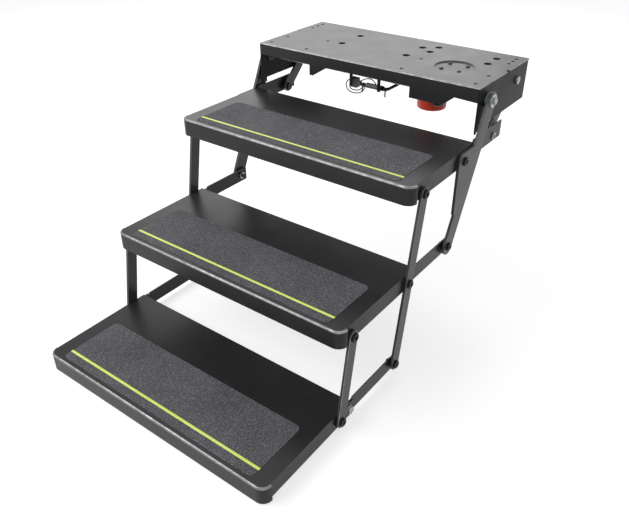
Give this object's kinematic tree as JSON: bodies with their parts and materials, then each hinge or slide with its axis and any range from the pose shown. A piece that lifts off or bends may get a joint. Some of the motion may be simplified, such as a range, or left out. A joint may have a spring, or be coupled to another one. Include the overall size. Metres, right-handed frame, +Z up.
{
  "type": "caravan pull out step",
  "caption": "Motor driven folding entrance step that hangs under a caravan floor, with level treads on swinging arms, links and struts.",
  "frame": {"origin": "centre of the mounting plate's top face", "axes": "+X to the right seen from the entrance, +Y under the vehicle, +Z up"},
  "size_m": [0.64, 0.997, 0.549],
  "materials": {
    "satin_black": "satin",
    "arm_black": "satin",
    "black_steel": "satin",
    "zinc_plate": "satin",
    "cast_alloy": "rough",
    "grit_pad": "rough",
    "bright_strip": "matte",
    "red_plastic": "gloss",
    "black_rubber": "matte",
    "grey_plastic": "matte",
    "white_plastic": "satin"
  },
  "bodies": {
    "frame": {"mounting_plate": "arm_black", "front_flange": "satin_black", "rear_flange": "satin_black", "side_panel_right": "satin_black", "side_panel_left": "satin_black", "hole_rings": "black_steel", "shaft_bushes": "black_rubber", "rear_pivot_bolts": "zinc_plate", "rear_pivot_nuts": "zinc_plate", "gearbox_case": "cast_alloy", "gearbox_screws": "black_steel", "drive_motor": "grey_plastic", "motor_cap": "red_plastic", "stop_buffer": "black_rubber", "motor_cable": "black_rubber", "cable_sleeve": "grey_plastic", "cable_connector": "white_plastic", "cable_clips": "zinc_plate"},
    "arms": {"arm_right": "arm_black", "arm_left": "arm_black", "cross_shaft": "zinc_plate", "shaft_spacers": "zinc_plate", "arm_end_bolts": "zinc_plate", "drive_lever": "black_steel", "lever_pin": "black_steel"},
    "top_tread": {"tread_1_pan": "satin_black", "tread_1_stiffener": "satin_black", "tread_1_rails": "satin_black", "tread_1_grit": "grit_pad", "tread_1_strip": "bright_strip", "tread_1_bolts": "black_steel", "tread_1_nuts": "zinc_plate"},
    "right_link": {"link_right": "arm_black"},
    "left_link": {"link_left": "arm_black"},
    "middle_tread": {"tread_2_pan": "satin_black", "tread_2_stiffener": "satin_black", "tread_2_rails": "satin_black", "tread_2_grit": "grit_pad", "tread_2_strip": "bright_strip", "tread_2_bolts": "black_steel", "tread_2_nuts": "zinc_plate"},
    "right_strut": {"strut_right": "arm_black"},
    "left_strut": {"strut_left": "arm_black"},
    "lowest_tread": {"tread_3_pan": "satin_black", "tread_3_stiffener": "satin_black", "tread_3_rails": "satin_black", "tread_3_grit": "grit_pad", "tread_3_strip": "bright_strip", "tread_3_bolts": "black_steel", "tread_3_nuts": "zinc_plate", "tread_3_tail_bolts": "zinc_plate"},
    "right_rear_arm": {"rear_arm_right": "arm_black"},
    "left_rear_arm": {"rear_arm_left": "arm_black"},
    "crank": {"output_crank": "black_steel", "crank_pin": "black_steel"},
    "rod": {"drive_rod": "black_steel"}
  },
  "joints": [
    {"name": "swing_out", "type": "hinge", "parent": "frame", "child": "arms", "pos_m": [0, -0.091, -0.035], "axis": [1, 0, 0], "range_deg": [0, 85]},
    {"name": "top_tread_pivot", "type": "hinge", "parent": "arms", "child": "top_tread", "pos_m": [0, -0.196, -0.135], "axis": [1, 0, 0], "range_deg": [-85, 0]},
    {"name": "right_link_pivot", "type": "hinge", "parent": "top_tread", "child": "right_link", "pos_m": [0.309, -0.364, -0.141], "axis": [1, 0, 0], "range_deg": [0, 85]},
    {"name": "left_link_pivot", "type": "hinge", "parent": "top_tread", "child": "left_link", "pos_m": [-0.309, -0.364, -0.141], "axis": [1, 0, 0], "range_deg": [0, 85]},
    {"name": "middle_tread_pivot", "type": "hinge", "parent": "right_link", "child": "middle_tread", "pos_m": [0, -0.398, -0.333], "axis": [1, 0, 0], "range_deg": [-85, 0]},
    {"name": "right_strut_pivot", "type": "hinge", "parent": "middle_tread", "child": "right_strut", "pos_m": [0.309, -0.599, -0.339], "axis": [1, 0, 0], "range_deg": [0, 85]},
    {"name": "left_strut_pivot", "type": "hinge", "parent": "middle_tread", "child": "left_strut", "pos_m": [-0.309, -0.599, -0.339], "axis": [1, 0, 0], "range_deg": [0, 85]},
    {"name": "lowest_tread_pivot", "type": "hinge", "parent": "right_strut", "child": "lowest_tread", "pos_m": [0, -0.633, -0.531], "axis": [1, 0, 0], "range_deg": [-85, 0]},
    {"name": "right_rear_arm_pivot", "type": "hinge", "parent": "frame", "child": "right_rear_arm", "pos_m": [0.289, 0.069, -0.035], "axis": [1, 0, 0], "range_deg": [0, 85]},
    {"name": "left_rear_arm_pivot", "type": "hinge", "parent": "frame", "child": "left_rear_arm", "pos_m": [-0.289, 0.069, -0.035], "axis": [1, 0, 0], "range_deg": [0, 85]},
    {"name": "crank_turn", "type": "hinge", "parent": "frame", "child": "crank", "pos_m": [0.192, 0.014, -0.035], "axis": [1, 0, 0], "range_deg": [0, 85]},
    {"name": "rod_pivot", "type": "hinge", "parent": "crank", "child": "rod", "pos_m": [0.1985, -0.00627, -0.05712], "axis": [1, 0, 0], "range_deg": [-85, 0]}
  ],
  "couplings": [
    {"joint": "top_tread_pivot", "follows": "swing_out", "ratio": -1},
    {"joint": "right_link_pivot", "follows": "swing_out", "ratio": 1},
    {"joint": "left_link_pivot", "follows": "swing_out", "ratio": 1},
    {"joint": "middle_tread_pivot", "follows": "swing_out", "ratio": -1},
    {"joint": "right_strut_pivot", "follows": "swing_out", "ratio": 1},
    {"joint": "left_strut_pivot", "follows": "swing_out", "ratio": 1},
    {"joint": "lowest_tread_pivot", "follows": "swing_out", "ratio": -1},
    {"joint": "right_rear_arm_pivot", "follows": "swing_out", "ratio": 1},
    {"joint": "left_rear_arm_pivot", "follows": "swing_out", "ratio": 1},
    {"joint": "crank_turn", "follows": "swing_out", "ratio": 1},
    {"joint": "rod_pivot", "follows": "swing_out", "ratio": -1}
  ]
}
